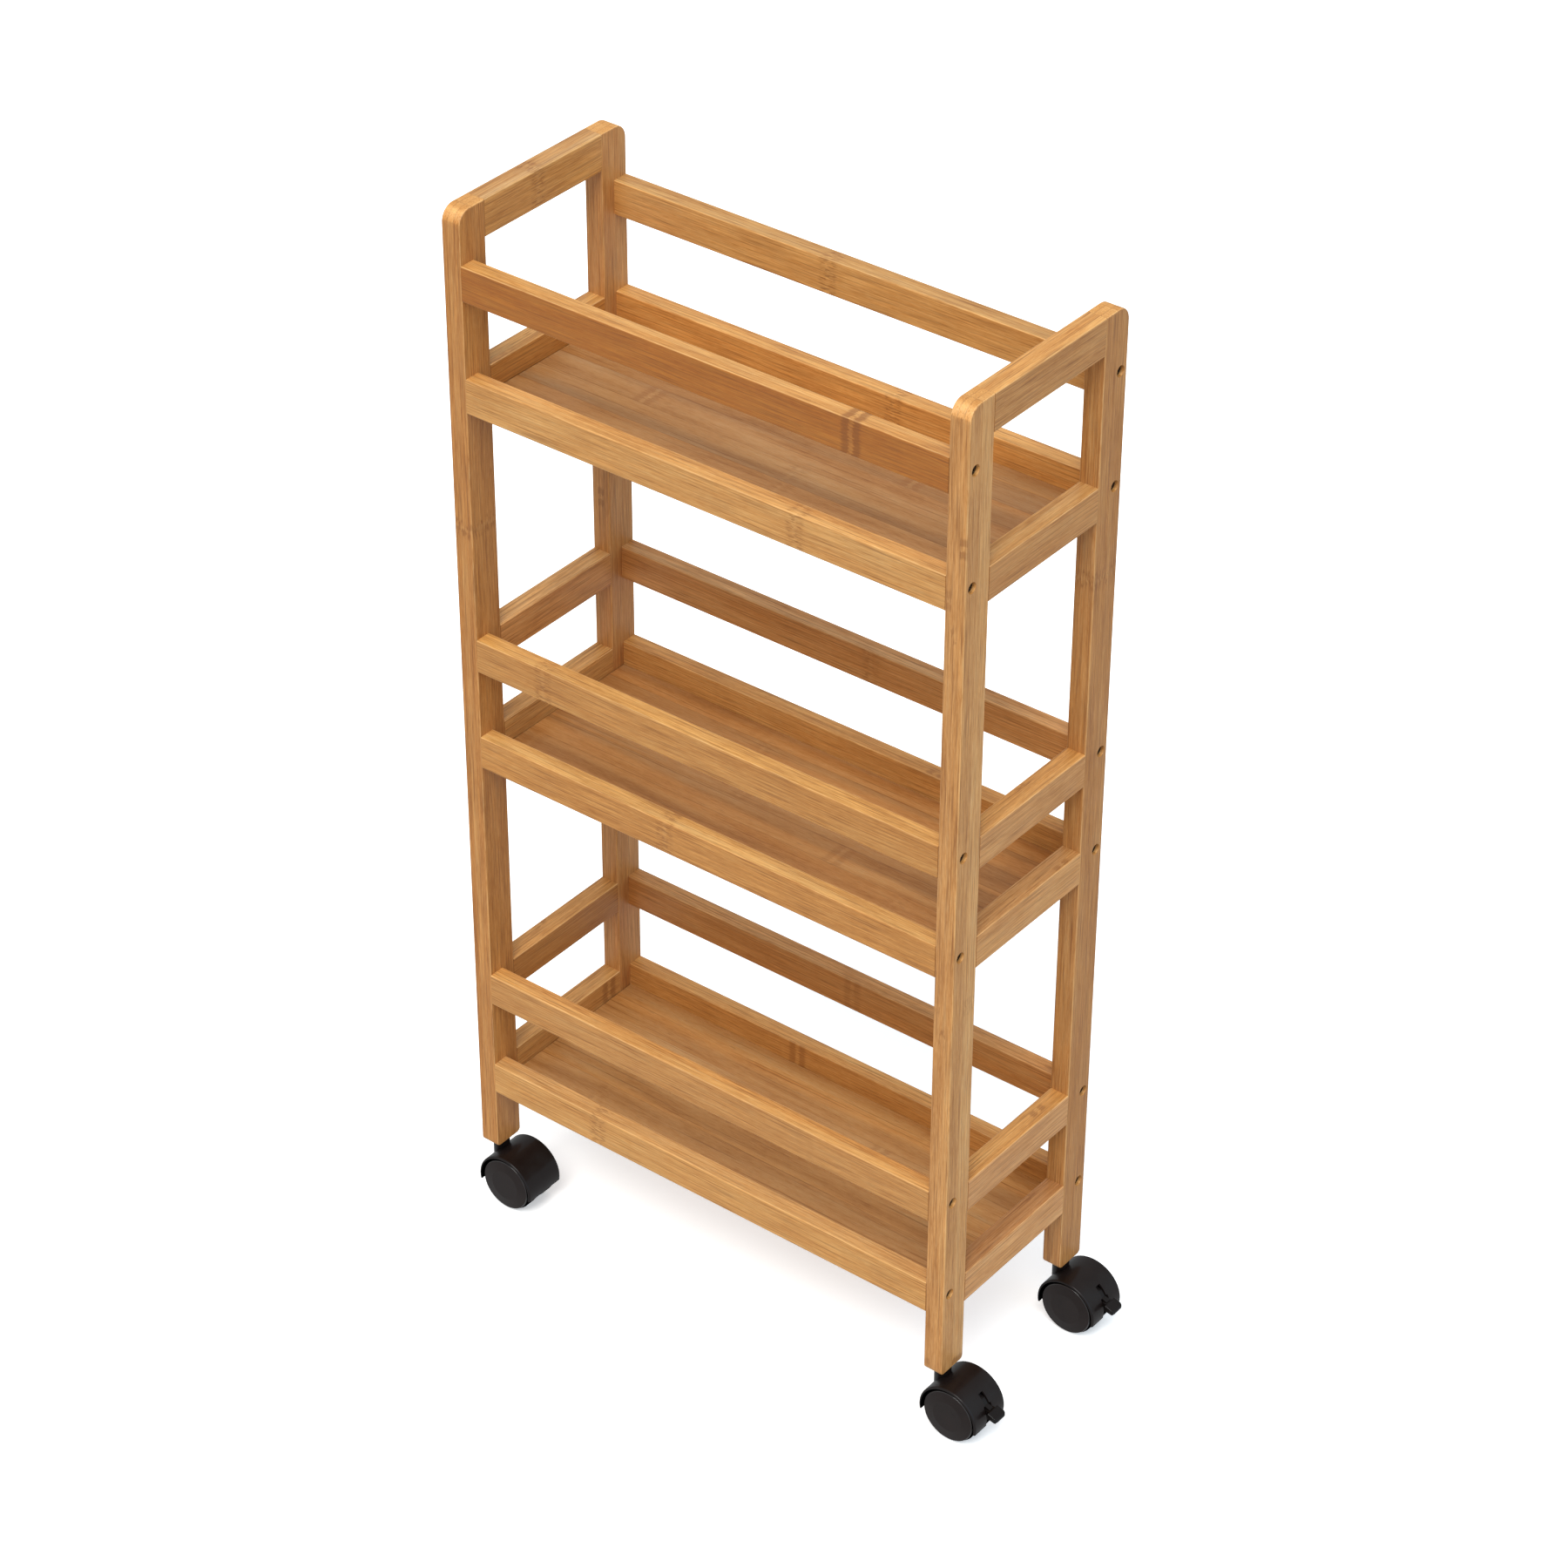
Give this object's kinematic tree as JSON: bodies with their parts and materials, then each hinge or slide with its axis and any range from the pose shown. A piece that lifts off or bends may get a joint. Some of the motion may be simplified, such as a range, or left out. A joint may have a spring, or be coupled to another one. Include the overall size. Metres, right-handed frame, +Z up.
{
  "type": "rolling utility cart",
  "caption": "Slim bamboo rolling cart: two ladder end frames joined by guard and shelf rails, thin shelf boards, handle rails and swivel twin-wheel casters with brake levers.",
  "frame": {"origin": "centre of the whole cart's footprint box, on the floor", "axes": "+X along the long side towards the end with the brake casters, +Y from the front to the rear, +Z up"},
  "size_m": [0.4576, 0.1756, 0.8105],
  "materials": {
    "bamboo_post": "clear satin lacquer over laminated bamboo strips",
    "bamboo_rail": "clear satin lacquer over laminated bamboo strips",
    "bamboo_board": "clear satin lacquer over a glued bamboo board",
    "screw_steel": "zinc plated",
    "dowel_wood": "plain beech",
    "insert_brass": "plain turned brass",
    "stem_steel": "zinc plated",
    "hood_plastic": "satin moulded black nylon",
    "wheel_plastic": "satin moulded black nylon",
    "lever_plastic": "satin moulded black nylon",
    "axle_steel": "bright drawn steel"
  },
  "bodies": {
    "cart_frame": {"left_front_post": "bamboo_post", "left_rear_post": "bamboo_post", "left_handle_rail": "bamboo_rail", "left_upper_shelf_end_rail": "bamboo_rail", "left_middle_guard_end_rail": "bamboo_rail", "left_middle_shelf_end_rail": "bamboo_rail", "left_lower_guard_end_rail": "bamboo_rail", "left_lower_shelf_end_rail": "bamboo_rail", "right_front_post": "bamboo_post", "right_rear_post": "bamboo_post", "right_handle_rail": "bamboo_rail", "right_upper_shelf_end_rail": "bamboo_rail", "right_middle_guard_end_rail": "bamboo_rail", "right_middle_shelf_end_rail": "bamboo_rail", "right_lower_guard_end_rail": "bamboo_rail", "right_lower_shelf_end_rail": "bamboo_rail", "front_upper_guard_rail": "bamboo_rail", "front_upper_shelf_rail": "bamboo_rail", "rear_upper_guard_rail": "bamboo_rail", "rear_upper_shelf_rail": "bamboo_rail", "upper_shelf_panel": "bamboo_board", "front_middle_guard_rail": "bamboo_rail", "front_middle_shelf_rail": "bamboo_rail", "rear_middle_guard_rail": "bamboo_rail", "rear_middle_shelf_rail": "bamboo_rail", "middle_shelf_panel": "bamboo_board", "front_lower_guard_rail": "bamboo_rail", "front_lower_shelf_rail": "bamboo_rail", "rear_lower_guard_rail": "bamboo_rail", "rear_lower_shelf_rail": "bamboo_rail", "lower_shelf_panel": "bamboo_board", "frame_screws": "screw_steel", "frame_dowels": "dowel_wood", "stem_inserts": "insert_brass", "caster_stems": "stem_steel"},
    "left_front_caster_swivel": {"left_front_caster_hood": "hood_plastic", "left_front_caster_axle": "axle_steel"},
    "left_front_caster_front_wheel": {"left_front_caster_front_wheel": "wheel_plastic"},
    "left_front_caster_rear_wheel": {"left_front_caster_rear_wheel": "wheel_plastic"},
    "left_rear_caster_swivel": {"left_rear_caster_hood": "hood_plastic", "left_rear_caster_axle": "axle_steel"},
    "left_rear_caster_front_wheel": {"left_rear_caster_front_wheel": "wheel_plastic"},
    "left_rear_caster_rear_wheel": {"left_rear_caster_rear_wheel": "wheel_plastic"},
    "right_front_caster_swivel": {"right_front_caster_hood": "hood_plastic", "right_front_caster_axle": "axle_steel", "right_front_caster_brake_pin": "axle_steel"},
    "right_front_caster_front_wheel": {"right_front_caster_front_wheel": "wheel_plastic"},
    "right_front_caster_rear_wheel": {"right_front_caster_rear_wheel": "wheel_plastic"},
    "right_front_caster_brake": {"right_front_caster_brake_lever": "lever_plastic"},
    "right_rear_caster_swivel": {"right_rear_caster_hood": "hood_plastic", "right_rear_caster_axle": "axle_steel", "right_rear_caster_brake_pin": "axle_steel"},
    "right_rear_caster_front_wheel": {"right_rear_caster_front_wheel": "wheel_plastic"},
    "right_rear_caster_rear_wheel": {"right_rear_caster_rear_wheel": "wheel_plastic"},
    "right_rear_caster_brake": {"right_rear_caster_brake_lever": "lever_plastic"}
  },
  "joints": [
    {"name": "left_front_caster_swivel_turn", "type": "hinge", "parent": "cart_frame", "child": "left_front_caster_swivel", "pos_m": [-0.22125, -0.0705, 0.04], "axis": [0, 0, 1], "continuous": true},
    {"name": "left_front_caster_front_wheel_spin", "type": "hinge", "parent": "left_front_caster_swivel", "child": "left_front_caster_front_wheel", "pos_m": [-0.20465, -0.0705, 0.0215], "axis": [0, 1, 0], "continuous": true},
    {"name": "left_front_caster_rear_wheel_spin", "type": "hinge", "parent": "left_front_caster_swivel", "child": "left_front_caster_rear_wheel", "pos_m": [-0.20465, -0.0705, 0.0215], "axis": [0, 1, 0], "continuous": true},
    {"name": "left_rear_caster_swivel_turn", "type": "hinge", "parent": "cart_frame", "child": "left_rear_caster_swivel", "pos_m": [-0.22125, 0.0705, 0.04], "axis": [0, 0, 1], "continuous": true},
    {"name": "left_rear_caster_front_wheel_spin", "type": "hinge", "parent": "left_rear_caster_swivel", "child": "left_rear_caster_front_wheel", "pos_m": [-0.20465, 0.0705, 0.0215], "axis": [0, 1, 0], "continuous": true},
    {"name": "left_rear_caster_rear_wheel_spin", "type": "hinge", "parent": "left_rear_caster_swivel", "child": "left_rear_caster_rear_wheel", "pos_m": [-0.20465, 0.0705, 0.0215], "axis": [0, 1, 0], "continuous": true},
    {"name": "right_front_caster_swivel_turn", "type": "hinge", "parent": "cart_frame", "child": "right_front_caster_swivel", "pos_m": [0.17875, -0.0705, 0.04], "axis": [0, 0, 1], "continuous": true},
    {"name": "right_front_caster_front_wheel_spin", "type": "hinge", "parent": "right_front_caster_swivel", "child": "right_front_caster_front_wheel", "pos_m": [0.19535, -0.0705, 0.0215], "axis": [0, 1, 0], "continuous": true},
    {"name": "right_front_caster_rear_wheel_spin", "type": "hinge", "parent": "right_front_caster_swivel", "child": "right_front_caster_rear_wheel", "pos_m": [0.19535, -0.0705, 0.0215], "axis": [0, 1, 0], "continuous": true},
    {"name": "right_front_caster_brake_press", "type": "hinge", "parent": "right_front_caster_swivel", "child": "right_front_caster_brake", "pos_m": [0.20731, -0.0705, 0.03575], "axis": [0, 1, 0], "range_deg": [0, 10]},
    {"name": "right_rear_caster_swivel_turn", "type": "hinge", "parent": "cart_frame", "child": "right_rear_caster_swivel", "pos_m": [0.17875, 0.0705, 0.04], "axis": [0, 0, 1], "continuous": true},
    {"name": "right_rear_caster_front_wheel_spin", "type": "hinge", "parent": "right_rear_caster_swivel", "child": "right_rear_caster_front_wheel", "pos_m": [0.19535, 0.0705, 0.0215], "axis": [0, 1, 0], "continuous": true},
    {"name": "right_rear_caster_rear_wheel_spin", "type": "hinge", "parent": "right_rear_caster_swivel", "child": "right_rear_caster_rear_wheel", "pos_m": [0.19535, 0.0705, 0.0215], "axis": [0, 1, 0], "continuous": true},
    {"name": "right_rear_caster_brake_press", "type": "hinge", "parent": "right_rear_caster_swivel", "child": "right_rear_caster_brake", "pos_m": [0.20731, 0.0705, 0.03575], "axis": [0, 1, 0], "range_deg": [0, 10]}
  ]
}
